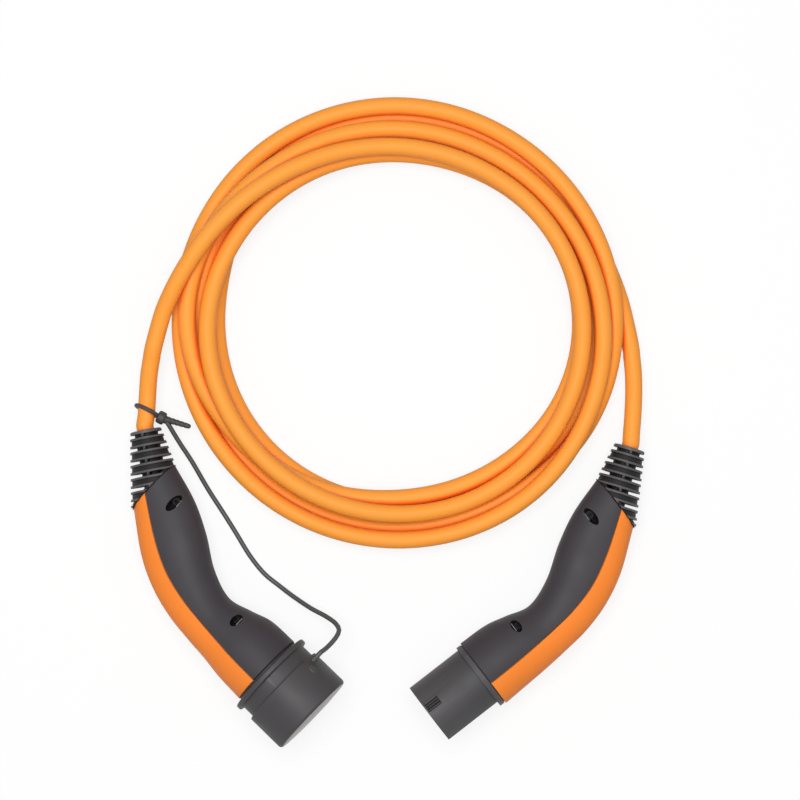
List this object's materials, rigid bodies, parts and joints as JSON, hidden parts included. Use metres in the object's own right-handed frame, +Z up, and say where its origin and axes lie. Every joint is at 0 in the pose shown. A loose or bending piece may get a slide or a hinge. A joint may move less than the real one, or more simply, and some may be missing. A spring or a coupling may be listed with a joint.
{
  "type": "ev charging cable",
  "caption": "Electric car charging cable lying coiled, with a curved pistol-grip connector at each end, ribbed bend reliefs and a tethered dust cap on the station plug.",
  "frame": {"origin": "on the floor, below the middle of the box around the two handles", "axes": "+X from the station plug's side to the vehicle connector's side, +Y from the noses to the coil, +Z up from the floor"},
  "size_m": [0.4316, 0.5434, 0.0817],
  "materials": {
    "housing": "fine-grained black moulding",
    "strip": "smooth orange moulding",
    "insulator": "black glass-filled moulding",
    "contact": "silver plated",
    "boot": "black bend relief",
    "screw": "zinc plated",
    "seal": "black foam",
    "core_insulation": "brown core insulation",
    "resistor": "lacquered",
    "cap_rubber": "dull black moulding",
    "sheath": "smooth orange sheath"
  },
  "bodies": {
    "cable_set": {"station_shell_upper": "housing", "station_shell_lower": "housing", "station_back_strip": "strip", "station_shroud": "housing", "station_pin_carrier": "insulator", "station_pin_l1": "contact", "station_pin_l2": "contact", "station_pin_l3": "contact", "station_pin_n": "contact", "station_pin_pe": "contact", "station_pin_cp": "contact", "station_pin_pp": "contact", "station_boot": "boot", "station_cord_clamp": "insulator", "station_clamp_screws": "screw", "station_shell_screws": "screw", "station_front_seal": "seal", "station_inner_wires": "core_insulation", "station_coding_resistor": "resistor", "station_cable_end": "sheath", "cap_tether": "cap_rubber", "tether_strap": "cap_rubber", "vehicle_shell_upper": "housing", "vehicle_shell_lower": "housing", "vehicle_back_strip": "strip", "vehicle_nose": "housing", "vehicle_socket_carrier": "insulator", "vehicle_socket_l1": "contact", "vehicle_socket_l2": "contact", "vehicle_socket_l3": "contact", "vehicle_socket_n": "contact", "vehicle_socket_pe": "contact", "vehicle_socket_cp": "contact", "vehicle_socket_pp": "contact", "vehicle_boot": "boot", "vehicle_cord_clamp": "insulator", "vehicle_clamp_screws": "screw", "vehicle_shell_screws": "screw", "vehicle_front_seal": "seal", "vehicle_inner_wires": "core_insulation", "vehicle_coding_resistor": "resistor", "vehicle_cable_end": "sheath", "cable_lead_left": "sheath", "cable_coil": "sheath", "cable_lead_right": "sheath"},
    "cap": {"dust_cap": "cap_rubber", "dust_cap_front": "cap_rubber"}
  },
  "joints": [
    {"name": "cap_pull", "type": "slide", "parent": "cable_set", "child": "cap", "axis": [0.7204, -0.6837, 0.1167], "range_m": [0, 0.11], "deforming": ["cap_tether"]}
  ]
}
